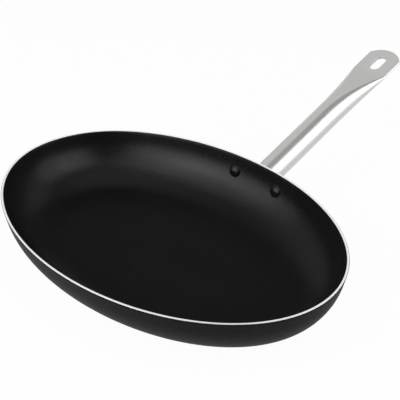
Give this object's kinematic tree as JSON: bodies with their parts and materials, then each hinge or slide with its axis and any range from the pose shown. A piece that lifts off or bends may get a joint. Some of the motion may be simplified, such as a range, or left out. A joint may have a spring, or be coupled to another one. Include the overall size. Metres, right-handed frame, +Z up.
{
  "type": "oval fish pan",
  "caption": "Oval frying pan for whole fish: pressed aluminium with black non-stick lining and lacquered outside, bare rim, and a riveted stainless tube handle with a flattened, slotted end.",
  "frame": {"origin": "middle of the flat base, on the surface that the pan stands on", "axes": "+Z up out of the pan, +X along the pan's long side, +Y to the handle"},
  "size_m": [0.3598, 0.4434, 0.1091],
  "materials": {
    "bare_aluminium": "bright cut edge and machined base",
    "nonstick": "satin black with a fine grain",
    "black_lacquer": "satin black",
    "stainless": "fine satin along the tube",
    "coated_rivet": "black coated"
  },
  "bodies": {
    "root": {"pan_body": "bare_aluminium", "nonstick_lining": "nonstick", "outer_lacquer": "black_lacquer", "handle_bracket": "stainless", "handle_weld": "stainless", "handle_tube": "stainless", "rivet_left": "coated_rivet", "rivet_right": "coated_rivet"}
  },
  "joints": []
}
